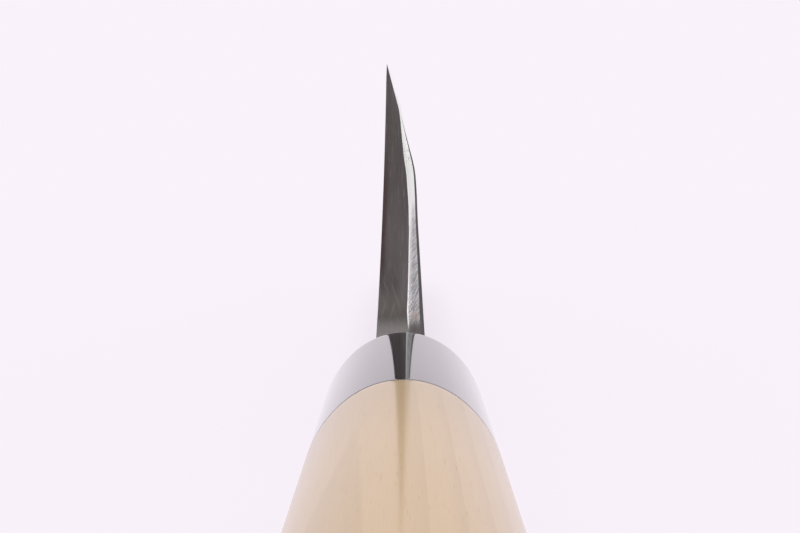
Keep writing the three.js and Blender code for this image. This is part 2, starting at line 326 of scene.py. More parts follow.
class BladeForm:
    """Surfaces of the blade. Places along it count from the ferrule front."""

    # Strips of the mesh
    NECK_STEPS = 8
    FILLET_STEPS = 12
    BLADE_STEPS = 120
    INNER_ROWS = 6
    SIDE_ROWS = 14
    ROUND_ROWS = 5
    SPINE_ROWS = 4
    FLAT_ROWS = 14
    RIDGE_ROWS = 4
    BEVEL_ROWS = 9
    WELD_ROWS = 22
    EDGE_ROWS = 5

    # Places as shares of the blade's length
    FIRST_COLUMN = 0.0226
    LAST_COLUMN = 0.998
    COLUMN_POWER = 1.35
    SPINE_STRAIGHT = 0.45
    THINNING_START = 0.5
    HOLLOW_RUN_IN = 0.12
    HOLLOW_DEEPEST = 0.2
    HOLLOW_FADE = (0.75, 0.98)
    SOFT_RIDGE_END = 0.08
    SWELL_END = 0.12

    # Curves of the edge and of the thickness, and where the neck's underside is level
    EDGE_LEAD_IN = 0.06
    EDGE_POWER = 2.6
    TAPER = 0.5
    TIP_TAPER = 0.39
    TIP_TAPER_POWER = 2.5
    LEVEL_BEHIND_HEEL = 2.0 * MM

    # Bounds of the hollow as shares of the blade's height
    HOLLOW_BOTTOM_AT_HEEL = 0.3
    HOLLOW_BOTTOM = 0.12
    HOLLOW_TOP = 0.97

    # Waves of the weld as size, reach in millimetres and start, and how far from the heel they take to begin
    RIPPLES = ((0.55, 4.6, 0.0), (0.3, 1.9, 1.0), (0.6, 11.0, 0.0))
    WAVE_RUN_IN = 14.0

    # Limits near the tip, as shares of the height, the thickness at the ridge, the flat or the layer
    BEVEL_OF_HEIGHT = 0.72
    BEVEL_BLEND = -4
    LAYER_OF_THICKNESS = 0.4
    SPLIT_OF_FLAT = 0.8
    ROUND_OF_HEIGHT = 0.2
    ROUND_OF_LAYER = 0.4
    SOFT_OF_FLAT = 0.06

    # Change of slope at the ridge
    RIDGE_TURN = 0.2

    # Swell in millimetres below the ridge, its share where it starts and its reach above the ridge
    SWELL_RISE = (-0.8, 2.2)
    SWELL_FALL = (2.8, 7.8)
    SWELL_START = 0.25
    SWELL_REACH = 8.0

    def __init__(self, sizes):
        self.sizes = sizes
        drop = sizes.heel_height - sizes.tip_height
        hira_height = sizes.heel_height - sizes.bevel_height
        self.ura_lean = (sizes.edge_offset - sizes.spine_left) / sizes.heel_height
        self.hira_lean = (sizes.spine_left + sizes.spine_thickness - sizes.ridge_offset) / hira_height
        self.ura_taper = (sizes.tip_offset - sizes.edge_offset + self.ura_lean * drop) / sizes.blade_length
        self.neck_middle = sizes.spine_left + sizes.spine_thickness / 2
        self.neck_share = (sizes.neck_top + sizes.neck_fillet) / sizes.heel_height

    def along(self, y):
        return clamp((y - self.sizes.heel_gap) / self.sizes.blade_length)

    def from_ferrule(self, y):
        """0 at the ferrule's end of the neck, 1 from the heel on."""
        return ease(self.sizes.neck_front, self.sizes.heel_gap, y)

    def edge_line(self, y):
        part = self.along(y)
        drop = self.EDGE_LEAD_IN * part + (1.0 - self.EDGE_LEAD_IN) * part**self.EDGE_POWER
        return self.sizes.heel_height - (self.sizes.heel_height - self.sizes.tip_height) * drop

    def spine_line(self, y):
        curved = max(0.0, (self.along(y) - self.SPINE_STRAIGHT) / (1.0 - self.SPINE_STRAIGHT))
        to_handle = 1.0 - ease(self.sizes.neck_front, self.sizes.heel_gap - self.LEVEL_BEHIND_HEEL, y)
        return self.sizes.tip_height * curved**2 + self.sizes.neck_rise * to_handle

    def thickness(self, y):
        part = self.along(y)
        near_tip = max(0.0, (part - self.THINNING_START) / (1.0 - self.THINNING_START))
        loss = self.TAPER * part + self.TIP_TAPER * near_tip**self.TIP_TAPER_POWER
        return self.sizes.spine_thickness * (1.0 - loss)

    def ura(self, y, z):
        """Plane of the hollow side."""
        ahead = max(0.0, y - self.sizes.heel_gap)
        return self.sizes.edge_offset - self.ura_lean * (self.sizes.heel_height - z) + self.ura_taper * ahead

    def hollow_limits(self, y):
        """Heights between which the flat side is hollow."""
        spine = self.spine_line(y)
        height = self.edge_line(y) - spine
        run_in = ease(0.0, self.HOLLOW_RUN_IN, self.along(y))
        bottom = blend(self.HOLLOW_BOTTOM_AT_HEEL, self.HOLLOW_BOTTOM, run_in)
        return spine + bottom * height, spine + self.HOLLOW_TOP * height

    def hollow(self, y, z):
        part = self.along(y)
        low, high = self.hollow_limits(y)
        across = clamp((z - low) / (high - low))
        run_in = ease(0.0, self.HOLLOW_DEEPEST, part)
        depth = blend(self.sizes.hollow_depth, self.sizes.hollow_deepest, run_in)
        return 4.0 * depth * (1.0 - ease(*self.HOLLOW_FADE, part)) * across * (1.0 - across)

    def wave(self, y):
        """Unevenness of the weld, nothing at the heel."""
        ahead = (y - self.sizes.heel_gap) / MM
        ripple = sum(size * math.sin(ahead / reach + start) for size, reach, start in self.RIPPLES)
        return self.sizes.weld_wave * ripple * ease(0.0, self.WAVE_RUN_IN, ahead)

    def swell(self, y, z):
        """Fullness that the grinding left below the ridge, gone a short way in front of the heel."""
        below = (self.sizes.heel_height - self.sizes.bevel_height - z) / MM
        rise = blend(self.SWELL_START, 1.0, ease(*self.SWELL_RISE, below))
        shape = (1.0 - ease(*self.SWELL_FALL, below)) * rise
        gone = max(ease(0.0, self.SWELL_END, self.along(y)), ease(0.0, self.SWELL_REACH, -below))
        return self.sizes.heel_swell * shape * (1.0 - gone)

    def section(self, y):
        """Key heights and thicknesses at one place."""
        sizes = self.sizes
        spine = self.spine_line(y)
        edge = self.edge_line(y)
        height = edge - spine
        power = self.BEVEL_BLEND
        bevel = (sizes.bevel_height**power + (self.BEVEL_OF_HEIGHT * height) ** power) ** (1.0 / power)
        ridge = edge - bevel
        flat = ridge - spine
        base = self.spine_line(max(y, sizes.heel_gap))
        base_x = self.ura(y, base) + self.thickness(y)
        ridge_x = base_x - self.hira_lean * (ridge - base)
        ridge_thickness = ridge_x - self.ura(y, ridge)
        layer = min(sizes.layer, self.LAYER_OF_THICKNESS * ridge_thickness) * (1.0 + self.wave(y))
        crispness = ease(0.0, self.SOFT_RIDGE_END, self.along(y))
        soft = blend(sizes.heel_ridge_round, sizes.ridge_round, crispness)
        return SimpleNamespace(
            y=y, spine=spine, edge=edge, ridge=ridge, base=base, base_x=base_x, ridge_x=ridge_x, layer=layer,
            weld=edge - bevel * layer / ridge_thickness,
            split=spine + min(self.neck_share * height, self.SPLIT_OF_FLAT * flat),
            round=min(sizes.spine_round, self.ROUND_OF_HEIGHT * height, self.ROUND_OF_LAYER * layer),
            soft=min(soft, self.SOFT_OF_FLAT * flat),
        )

    def place(self, y, x, z):
        """Point of the blade, drawn in towards the middle of the neck as it nears the ferrule."""
        inward = self.sizes.neck_narrowing * (1.0 - self.from_ferrule(y))
        return Vector((blend(x, self.neck_middle, inward), FRONT + y, z))

    def omote(self, y, z):
        """Bevelled side: the flat below the ridge and the bevel above it."""
        cut = self.section(y)
        if z <= cut.ridge:
            x = cut.base_x - self.hira_lean * (z - cut.base)
        else:
            up = (z - cut.ridge) / (cut.edge - cut.ridge)
            x = blend(cut.ridge_x, self.ura(y, cut.edge), up)
        near = max(0.0, cut.soft - abs(z - cut.ridge))
        return x - self.RIDGE_TURN * near**2 / (4.0 * cut.soft) + self.swell(y, z)

    def weld(self, y, z):
        """Boundary of the two metals, which comes out on the bevel."""
        return min(self.ura(y, z) + self.section(y).layer, self.omote(y, z))

    def inner_curve(self):
        """Neck top and fillet as (y, z, turn): turn goes from 0 on the neck to a right angle at the heel."""
        sizes = self.sizes
        start = sizes.heel_gap - sizes.neck_fillet
        curve = [(y, sizes.neck_top, 0.0) for y in spread(sizes.neck_front, start, self.NECK_STEPS)]
        for turn in spread(0.0, math.pi / 2, self.FILLET_STEPS)[1:]:
            rise = sizes.neck_fillet * (1.0 - math.cos(turn))
            curve.append((start + sizes.neck_fillet * math.sin(turn), sizes.neck_top + rise, turn))
        return curve

    def columns(self):
        """Places along the blade in front of the heel, closer together towards the tip."""
        shares = [1.0 - (1.0 - part) ** self.COLUMN_POWER for part in spread(0.0, 1.0, self.BLADE_STEPS)]
        parts = [blend(self.FIRST_COLUMN, self.LAST_COLUMN, share) for share in shares]
        return [self.sizes.heel_gap + self.sizes.blade_length * part for part in parts]


class BladeSide:
    """One side of one metal: across(y, z) is its surface, upper(cut) gives the rows above the split."""

    outward = 0

    def __init__(self, form):
        self.form = form
        self.sizes = form.sizes

    def corner(self, y, z):
        """Steps over the corner with the inner face: (in from the side, back from the inner face)."""
        return [(0.0, 0.0)]

    def lower(self, y, top, foot):
        """Heights of the rows from the top down to the foot."""
        return spread(top, foot, BladeForm.SIDE_ROWS)

    def point(self, y, z, inset=0.0):
        return self.form.place(y, self.across(y, z) - self.outward * inset, z)

    def eased(self, y, z, turn):
        """Points over the corner, from the inner face to the side."""
        sine, cosine = math.sin(turn), math.cos(turn)
        return [self.point(y + back * sine, z - back * cosine, inset) for inset, back in self.corner(y, z)]

    def descent(self, y, top):
        """Points from the top down to the spine, round at the foot on an outer side."""
        cut = self.form.section(y)
        radius = cut.round if self.outward else 0.0
        foot = cut.spine + radius
        row = [self.point(y, z) for z in self.lower(y, top, foot)]
        if not self.outward:
            return row
        side = row[-1]
        for turn in spread(0.0, math.pi / 2, BladeForm.ROUND_ROWS)[1:]:
            inward = self.outward * radius * (1.0 - math.cos(turn))
            row.append(Vector((side.x - inward, side.y, foot - radius * math.sin(turn))))
        return row


class IronSide(BladeSide):
    """Bevelled side, with the ground corner of the heel and the neck."""

    outward = 1
    GROUND_STEPS = (0.0, 0.1, 0.4, 0.7, 1.0)
    BAND_STEPS = 3
    CROWN = 0.05
    RIDGE_REACH = 2.5

    def across(self, y, z):
        return self.form.omote(y, z)

    def corner(self, y, z):
        sizes = self.sizes
        width, band = corner_sizes(max(z, sizes.neck_top + sizes.neck_fillet))
        kept = blend(sizes.neck_corner, 1.0, self.form.from_ferrule(y))
        band *= kept
        ground = width * kept - band
        steps = []
        for part in self.GROUND_STEPS:
            crown = self.CROWN * ground * math.sin(math.pi * part)
            steps.append((ground * (1.0 - part) + band - crown, sizes.corner_lean * ground * part))
        reach = steps[-1][1]
        for part in spread(0.0, 1.0, self.BAND_STEPS)[1:]:
            steps.append((band * (1.0 - part), reach + sizes.band_lean * band * part))
        return steps

    def upper(self, cut):
        reach = self.RIDGE_REACH * cut.soft
        levels = spread(cut.split, cut.ridge - reach, BladeForm.FLAT_ROWS)
        levels += [cut.ridge - cut.soft, cut.ridge, cut.ridge + cut.soft]
        return levels + spread(cut.ridge + reach, cut.weld, BladeForm.BEVEL_ROWS)


class SteelSide(BladeSide):
    """Hollow side, with a small round at the heel and the neck."""

    outward = -1
    RIM_ROW = 0.98

    def across(self, y, z):
        return self.form.ura(y, z) + self.form.hollow(y, z)

    def corner(self, y, z):
        radius = blend(self.sizes.neck_round, self.sizes.heel_round, self.form.from_ferrule(y))
        radius *= 1.0 - ease(self.sizes.heel_height - MM, self.sizes.heel_height, z)
        turns = spread(0.0, math.pi / 2, BladeForm.ROUND_ROWS)
        return [(radius * (1.0 - math.sin(turn)), radius * (1.0 - math.cos(turn))) for turn in turns]

    def upper(self, cut):
        rim = self.form.hollow_limits(cut.y)[1]
        levels = spread(cut.split, rim, BladeForm.WELD_ROWS)
        return levels + spread(rim, cut.edge, BladeForm.EDGE_ROWS)[1:]

    def lower(self, y, top, foot):
        rim = blend(foot, min(top, self.form.hollow_limits(y)[0]), self.RIM_ROW)
        half = BladeForm.SIDE_ROWS // 2
        return spread(top, rim, half) + spread(rim, foot, half)[1:]


class IronWeld(BladeSide):
    """Weld as the left side of the iron."""

    def across(self, y, z):
        return self.form.weld(y, z)

    def upper(self, cut):
        rows = BladeForm.FLAT_ROWS + BladeForm.RIDGE_ROWS + BladeForm.BEVEL_ROWS
        return spread(cut.split, cut.weld, rows)


class SteelWeld(IronWeld):
    """Weld as the right side of the edge steel, with the steel's share of the bevel above it."""

    def upper(self, cut):
        levels = spread(cut.split, cut.weld, BladeForm.WELD_ROWS)
        return levels + spread(cut.weld, cut.edge, BladeForm.EDGE_ROWS)[1:]


def lay_blade(draft, form, left, right, finishes):
    """Puts the neck, the heel face, the sides and the tip of one metal together; returns the neck's end."""
    heel = form.section(form.sizes.heel_gap)
    curve = form.inner_curve()

    def along_inner_face(side):
        corners = [side.eased(*spot) for spot in curve]
        return corners + [side.eased(heel.y, z, math.pi / 2) for z in side.upper(heel)[1:]]

    def underside(y_left, z_left, y_right, z_right):
        down = left.descent(y_left, z_left)
        up = right.descent(y_right, z_right)[::-1]
        steps = spread(0.0, 1.0, form.SPINE_ROWS)[1:-1]
        return down + [down[-1].lerp(up[0], part) for part in steps] + up

    lefts = along_inner_face(left)
    rights = along_inner_face(right)
    parts = spread(0.0, 1.0, form.INNER_ROWS)
    inner = [[near[0].lerp(far[0], part) for part in parts] for near, far in zip(lefts, rights)]
    draft.patch(inner, finishes["inner"])
    draft.patch(lefts, finishes["corner"])
    draft.patch(rights, finishes["corner"])
    tops = [(low[-1], high[-1]) for low, high in zip(lefts, rights)]
    unders = [underside(near.y - FRONT, near.z, far.y - FRONT, far.z) for near, far in tops[:len(curve)]]
    draft.patch(unders, finishes["under"])
    heel_tops = tops[len(curve):]
    rings = [[near for near, far in heel_tops][::-1] + unders[-1] + [far for near, far in heel_tops]]
    for y in form.columns():
        cut = form.section(y)
        near = [left.point(y, z) for z in left.upper(cut)]
        far = [right.point(y, z) for z in right.upper(cut)]
        rings.append(near[:0:-1] + underside(y, cut.split, y, cut.split) + far[1:])
    draft.patch(rings, finishes["left"] + finishes["under"] + finishes["right"])
    draft.face(rings[-1][:-1], finishes["tip"])
    return unders[0] + rights[0][-2::-1] + inner[0][-2:0:-1] + lefts[0][:-1]


def build_blade_iron(sizes, handle, colours):
    """Soft iron with the heel face, the ground corner, the flat, the bevel, the spine, neck and tang."""
    form = BladeForm(sizes)
    draft = Draft("blade_iron")
    satin = satin_iron(colours)
    misty = misty_bevel(colours)
    corner = bright_corner(colours, form)
    forged = forged_tang(colours)
    grounds = [burnished_highlight_line(colours)] + [corner] * (len(IronSide.GROUND_STEPS) - 2)
    spine = [brushed_spine(colours)] * (form.SPINE_ROWS + form.ROUND_ROWS)
    half_ridge = form.RIDGE_ROWS // 2
    end = lay_blade(draft, form, IronWeld(form), IronSide(form), {
        "inner": ground_heel(colours, form),
        "corner": grounds + [dark_band(colours)] * IronSide.BAND_STEPS,
        "left": [forged] * (form.FLAT_ROWS + form.RIDGE_ROWS + form.BEVEL_ROWS),
        "under": [forged] * form.SIDE_ROWS + spine + [satin] * form.SIDE_ROWS,
        "right": [satin] * (form.FLAT_ROWS + half_ridge) + [misty] * (form.BEVEL_ROWS + half_ridge),
        "tip": satin,
    })
    middle = (handle.tang_bottom + handle.tang_top) / 2
    angles = [math.atan2(point.z - middle, point.x) for point in end]
    places = (sizes.neck_front, -handle.tang_straight, -handle.tang_length)
    tang = [tang_ring(handle, y, angles) for y in places]
    draft.patch([end, *tang], forged, around=True)
    draft.face(tang[-1], forged)
    return draft.piece()


def build_edge_steel(sizes, colours):
    """Edge steel with the hollow back, its flat rims, the strip on the heel and the cutting edge."""
    form = BladeForm(sizes)
    draft = Draft("blade_edge_steel")
    strip = ground_heel(colours, form)
    rim = polished_rim(colours)
    hollow = hollow_back(colours)
    forged = forged_tang(colours)
    half = form.SIDE_ROWS // 2
    spine = [brushed_spine(colours)] * (form.ROUND_ROWS + form.SPINE_ROWS)
    end = lay_blade(draft, form, SteelSide(form), SteelWeld(form), {
        "inner": strip,
        "corner": strip,
        "left": [rim] * form.EDGE_ROWS + [hollow] * form.WELD_ROWS,
        "under": [hollow] * half + [rim] * half + spine + [forged] * form.SIDE_ROWS,
        "right": [forged] * form.WELD_ROWS + [bright_edge(colours)] * form.EDGE_ROWS,
        "tip": rim,
    })
    draft.face(end, forged)
    return draft.piece(hidden=forged)


# Handle

AROUND_STEPS = 160
BUTT_STEPS = 8
GRIP_STEPS = 30
ROUND_STEPS = 12
JOINT_STEPS = 4
SPIGOT_STEPS = 6
FERRULE_STEPS = 12
LIP_STEPS = 3
BORE_STEPS = 4

# Inset of the butt's middle face as a share of the half width
BUTT_MIDDLE = 0.96


def around():
    """Directions all round."""
    return [2.0 * math.pi * side / AROUND_STEPS for side in range(AROUND_STEPS)]


def oval(handle, y, inset=0.0):
    """Outline of the handle at one place, with its back line on the standing plane."""
    half_width = handle.half_width - handle.taper * y
    half_height = handle.half_height - handle.taper * y
    ring = []
    for turn in around():
        x = (half_width - inset) * math.cos(turn)
        z = half_height + (half_height - inset) * math.sin(turn)
        ring.append(Vector((x, FRONT + y, z)))
    return ring


def rounded_end(handle, y, radius, facing, steps):
    """Outlines over a rounded end that faces forwards (1) or backwards (-1)."""
    rings = []
    for turn in spread(0.0, math.pi / 2, steps):
        back = radius * (1.0 - math.sin(turn))
        rings.append(oval(handle, y - facing * back, radius * (1.0 - math.cos(turn))))
    return rings


def tang_ring(handle, y, angles, room=0.0, power=10.0):
    """Outline of the tang at one place, a flat bar with soft corners, with some room left around it."""
    taper = clamp((-y - handle.tang_straight) / (handle.tang_length - handle.tang_straight))
    half = blend(handle.tang_half, handle.tang_end_half, taper) + room
    low = blend(handle.tang_bottom, handle.tang_end_bottom, taper) - room
    high = blend(handle.tang_top, handle.tang_end_top, taper) + room
    middle = (low + high) / 2
    tall = (high - low) / 2
    ring = []
    for turn in angles:
        cosine, sine = math.cos(turn), math.sin(turn)
        reach = (abs(cosine / half) ** power + abs(sine / tall) ** power) ** (-1.0 / power)
        ring.append(Vector((reach * cosine, FRONT + y, middle + reach * sine)))
    return ring


def build_ferrule(handle, colours):
    """Horn ring with a rounded lip and a fine round at the joint."""
    draft = Draft("horn_ferrule")
    back = -handle.ferrule_length
    past_joint = back + 0.5 * MM
    behind_lip = -2.0 * MM
    chamfer = 0.2 * MM
    rings = [oval(handle, back, handle.wall)]
    rings += rounded_end(handle, back, handle.joint, -1, JOINT_STEPS)[::-1]
    rings += [oval(handle, y) for y in spread(past_joint, behind_lip, FERRULE_STEPS)]
    rings += rounded_end(handle, 0.0, handle.lip, 1, ROUND_STEPS)
    rings += [oval(handle, 0.0, inset) for inset in spread(handle.lip, handle.wall - chamfer, LIP_STEPS)[1:]]
    rings += [oval(handle, -chamfer, handle.wall)]
    rings += [oval(handle, y, handle.wall) for y in spread(behind_lip, back, BORE_STEPS)]
    draft.patch(rings, polished_horn(colours), around=True)
    return draft.piece()


def build_handle(handle, colours):
    """Magnolia handle with its rounded butt, the spigot under the ferrule and the slot for the tang."""
    draft = Draft("magnolia_handle")
    wood = sanded_magnolia(colours)
    butt = -handle.handle_length
    joint = -handle.ferrule_length
    front = -handle.spigot_setback
    spigot = handle.wall + handle.spigot_gap
    slot_end = -handle.tang_length - handle.slot_end_gap
    past_butt = butt + 4.0 * MM
    insets = spread(BUTT_MIDDLE * handle.half_width, handle.butt_round, BUTT_STEPS)[:-1]
    rings = [oval(handle, butt, inset) for inset in insets]
    rings += rounded_end(handle, butt, handle.butt_round, -1, ROUND_STEPS)[::-1]
    rings += [oval(handle, y) for y in spread(past_butt, joint - MM, GRIP_STEPS)]
    rings += rounded_end(handle, joint, handle.joint, 1, JOINT_STEPS)
    rings += [oval(handle, joint, spigot)]
    rings += [oval(handle, y, spigot) for y in spread(joint + MM, front, SPIGOT_STEPS)]
    for y in (front, -handle.tang_straight, slot_end):
        rings.append(tang_ring(handle, y, around(), handle.slot_clearance))
    draft.patch(rings, wood, around=True)
    draft.face(rings[0], wood)
    draft.face(rings[-1], wood)
    return draft.piece()


def build_bedding(handle, colours):
    """Resin that fills the mouth of the slot around the tang, slightly sunken at the front."""
    draft = Draft("tang_resin")
    front = -handle.spigot_setback
    deep = -handle.bedding_depth
    room = handle.slot_clearance
    # Places along the knife with the room around the tang there
    outside = [(deep, room), (front - 0.3 * MM, room), (front, room - 0.2 * MM)]
    inside = [(front - 0.1 * MM, 0.15 * MM), (front - 0.05 * MM, 0.0), (deep, 0.0)]
    rings = [tang_ring(handle, y, around(), more) for y, more in outside + inside]
    rings.append(rings[0])
    draft.patch(rings, dull_resin(colours), around=True)
    return draft.piece()


# Shader sockets and nodes


def operator_pair(operation):
    """Plain and reflected form of an operator, each of which adds a Math node."""

    def plain(self, other):
        return self.maths(operation, self, other)

    def reflected(self, other):
        return self.maths(operation, other, self)

    return plain, reflected


class Field:
    """A shader socket on which arithmetic adds Math nodes."""

    def __init__(self, tree, socket):
        self.tree = tree
        self.socket = socket

    def maths(self, operation, first, second):
        node = self.tree.nodes.new("ShaderNodeMath")
        node.operation = operation
        for socket, value in zip(node.inputs, (first, second)):
            attach(self.tree, socket, value)
        return Field(self.tree, node.outputs[0])

    __add__, __radd__ = operator_pair("ADD")
    __sub__, __rsub__ = operator_pair("SUBTRACT")
    __mul__, __rmul__ = operator_pair("MULTIPLY")
    __truediv__, __rtruediv__ = operator_pair("DIVIDE")
    __pow__, __rpow__ = operator_pair("POWER")
    __mod__, __rmod__ = operator_pair("FLOORED_MODULO")


def attach(tree, socket, value):
    if isinstance(value, Field):
        tree.links.new(value.socket, socket)
    elif socket.type == "RGBA":
        socket.default_value = (*value, 1.0)
    else:
        socket.default_value = value


class Shading:
    """Builds the nodes of one tree. Places and depths are millimetres, heights from the standing plane."""

    def __init__(self, tree):
        self.tree = tree
        self.tree.nodes.clear()

    def node(self, kind, settings=None, sockets=None, output=0):
        """Adds a node: its settings first, then the values or links of its sockets."""
        node = self.tree.nodes.new(kind)
        for name, value in (settings or {}).items():
            setattr(node, name, value)
        for name, value in (sockets or {}).items():
            attach(self.tree, node.inputs[name], value)
        return Field(self.tree, node.outputs[output]) if len(node.outputs) else None

    def outputs(self, field, *names):
        """Other outputs of the node that a socket belongs to."""
        return [Field(self.tree, field.socket.node.outputs[name]) for name in names]

    def times(self, place, factors):
        return self.node("ShaderNodeVectorMath", {"operation": "MULTIPLY"}, {0: place, 1: factors})

    def position(self):
        return self.times(self.node("ShaderNodeTexCoord", output="Object"), (1.0 / MM,) * 3)

    def split(self, place):
        return self.outputs(self.node("ShaderNodeSeparateXYZ", None, {"Vector": place}), "X", "Y", "Z")

    def axes(self):
        return self.split(self.position())

    def noise(self, x, y, z, detail=3.0, roughness=0.5, distortion=0.0, slant=None):
        """Noise with a scale along each axis, on a place that a slant (axis, degrees) turns first."""
        place = self.position()
        if slant:
            axis, degrees = slant
            turned = {"Vector": place, "Axis": axis, "Angle": math.radians(degrees)}
            place = self.node("ShaderNodeVectorRotate", {"rotation_type": "AXIS_ANGLE"}, turned)
        sockets = {"Vector": self.times(place, (x, y, z)), "Scale": 1.0, "Detail": detail}
        sockets |= {"Roughness": roughness, "Distortion": distortion}
        return self.node("ShaderNodeTexNoise", {"noise_dimensions": "3D"}, sockets)

    def ramp(self, value, low, high):
        """0 below low, 1 above high, eased between."""
        settings = {"interpolation_type": "SMOOTHSTEP", "clamp": True}
        return self.node("ShaderNodeMapRange", settings, {"Value": value, "From Min": low, "From Max": high})

    def fall(self, value, low, high):
        """1 below low, 0 above high, eased between."""
        return 1.0 - self.ramp(value, low, high)

    def window(self, value, low, rise_end, fall_start, high):
        """0 below low and above high, 1 between the two inner limits."""
        return self.ramp(value, low, rise_end) * self.fall(value, fall_start, high)

    def past_front(self, start, end):
        """0 to 1 between two places along the knife, counted from the ferrule front."""
        return self.ramp(self.axes()[1], FRONT / MM + start, FRONT / MM + end)

    def mix(self, amount, first, second):
        settings = {"data_type": "RGBA", "blend_type": "MIX", "clamp_factor": True}
        return self.node("ShaderNodeMix", settings, {0: amount, 6: first, 7: second}, output=2)

    def tones(self, amount, tint, low, high=1.0):
        """Two strengths of one colour, mixed."""
        return self.mix(amount, darker(tint, low), darker(tint, high))

    def either(self, amount, first, second):
        """Two shaders, mixed."""
        return self.node("ShaderNodeMixShader", None, {0: amount, 1: first, 2: second})

    def relief(self, height, depth, strength):
        """Normal of a surface with a fine relief."""
        return self.node(
            "ShaderNodeBump", None, {"Strength": strength, "Distance": depth * MM, "Height": height}
        )


def darker(tint, amount):
    return tuple(channel * amount for channel in tint)


def new_material(name):
    made = bpy.data.materials.new(name)
    made.use_nodes = True
    return made, Shading(made.node_tree)


def finish(recipe):
    """Turns a recipe for a shader's sockets into a material that is made once and shared."""

    @functools.wraps(recipe)
    def material(*values):
        made = bpy.data.materials.get(recipe.__name__)
        if not made:
            made, shading = new_material(recipe.__name__)
            shader = shading.node("ShaderNodeBsdfPrincipled", None, recipe(shading, *values))
            shading.node("ShaderNodeOutputMaterial", None, {"Surface": shader})
        return made

    return material


def metal(tone, roughness, normal, metallic=1.0):
    return {"Base Color": tone, "Metallic": metallic, "Roughness": roughness, "Normal": normal}


def dulled(shading, colours, tone):
    """A tone that turns into dull iron towards the ferrule, and how far it has turned at each place."""
    dull = 1.0 - shading.past_front(-4.0, 22.0)
    return shading.mix(dull * 0.75, tone, colours.forged), dull


def glossier(shading, roughness):
    """A roughness that falls at a very flat angle, where even a misty surface turns glossy."""
    facing = shading.node("ShaderNodeLayerWeight", None, {"Blend": 0.5}, output="Facing")
    return roughness * (1.0 - 0.8 * shading.ramp(facing, 0.75, 0.95))


# Finishes of the blade


@finish
def satin_iron(shading, colours):
    """Flat of the bevelled side: long fine lines towards the tip, hand-rubbed clouds, a few scratches."""
    fine = shading.noise(0.6, 0.03, 9.0, detail=6.0, roughness=0.62)
    broad = shading.noise(0.3, 0.011, 1.7, detail=5.0, roughness=0.68)
    cloud = shading.noise(0.06, 0.03, 0.07)
    scratch = shading.ramp(shading.noise(2.0, 0.16, 7.0, detail=2.0, distortion=0.9), 0.7, 0.76)
    lines = shading.ramp(fine, 0.3, 0.7) * 0.3 + shading.ramp(broad, 0.3, 0.7) * 0.5
    rubbed = shading.tones(lines + cloud * 0.4 - 0.1, colours.iron, 0.6)
    marked = shading.mix(scratch * 0.45, rubbed, darker(colours.iron, 0.42))
    tone, dull = dulled(shading, colours, marked)
    roughness = 0.17 + 0.12 * fine + 0.14 * broad + 0.08 * cloud + 0.1 * dull
    return metal(tone, roughness, shading.relief(fine + broad - 0.6 * scratch, 0.008, 0.6))


@finish
def misty_bevel(shading, colours):
    """Soft iron of the bevel: hazy clouds with faint slanting stone marks."""
    stone = shading.noise(2.5, 2.2, 0.12, detail=5.0, roughness=0.65, distortion=0.2)
    mist = shading.noise(0.2, 0.05, 0.25, detail=5.0, roughness=0.62)
    speck = shading.noise(5.0, 5.0, 5.0, roughness=0.7)
    amount = shading.ramp(mist, 0.3, 0.7) * 0.65 + speck * 0.3 + stone * 0.2
    tone = shading.tones(amount, colours.iron_haze, 0.7)
    roughness = glossier(shading, 0.2 + 0.1 * stone + 0.1 * mist)
    return metal(tone, roughness, shading.relief(stone + 0.3 * speck, 0.004, 0.4))


@finish
def ground_heel(shading, colours, form):
    """Heel face, fillet and neck top: dull upright grinding marks, browner along the edge steel, a painted
    reflection that changes with height and a painted highlight on the foot.
    """
    x, _, z = shading.axes()
    from_left = x - form.ura_lean * z - form.sizes.spine_left / MM
    middle = shading.ramp(z, 27.0, 33.0) * (1.0 - 0.7 * shading.ramp(z, 42.0, 50.0))
    strip = shading.fall(from_left, 0.45, 1.25) * middle
    marks = shading.noise(4.5, 4.5, 0.16, detail=5.0, roughness=0.6)
    cloud = shading.noise(0.4, 0.4, 0.1)
    hairs = shading.ramp(shading.noise(7.0, 7.0, 0.35, detail=2.0, distortion=0.5), 0.58, 0.68)
    # Painted reflection: the heel face is painted lighter low down and at the top and darker across the
    # middle, standing for the changing room it reflects.
    painted_reflection = 0.95 - 0.9 * shading.ramp(z, 33.0, 46.0) + 1.1 * shading.ramp(z, 50.0, 58.0)
    # Painted highlight: the foot of the heel face and the fillet turn to a lighter tone, as if lit from
    # above.
    foot = shading.window(z, 22.2, 24.2, 25.5, 29.8)
    beside = shading.ramp(from_left, 2.4, 3.8) * shading.window(z, 25.0, 27.0, 28.5, 34.0)
    low_left = shading.fall(from_left, 2.5, 4.5) * shading.window(z, 22.8, 24.8, 27.0, 33.0)
    rising = shading.noise(2.4, 2.4, 0.22, slant=((0.0, 1.0, 0.0), 15.0))
    falling = shading.noise(2.4, 2.4, 0.22, slant=((0.0, 1.0, 0.0), -18.0))
    scuffs = (shading.ramp(rising, 0.54, 0.7) + shading.ramp(falling, 0.54, 0.7)) * low_left
    ground = shading.tones(marks * 0.7 + cloud * 0.7 - 0.6 + 0.75 * painted_reflection, colours.heel, 0.64)
    # The painted highlight of the foot is mixed in here.
    rubbed = shading.mix(foot * 0.9, ground, colours.heel_foot_highlight)
    lined = shading.mix(hairs * 0.25 + beside * (0.1 + 0.5 * marks), rubbed, colours.corner_worn)
    scuffed = shading.mix(scuffs * 0.17, lined, colours.corner)
    tone = shading.mix(strip * 0.9, scuffed, colours.heel_steel)
    roughness = 0.34 + 0.14 * marks + 0.08 * cloud
    return metal(tone, roughness, shading.relief(marks - 0.5 * hairs, 0.014, 0.5))


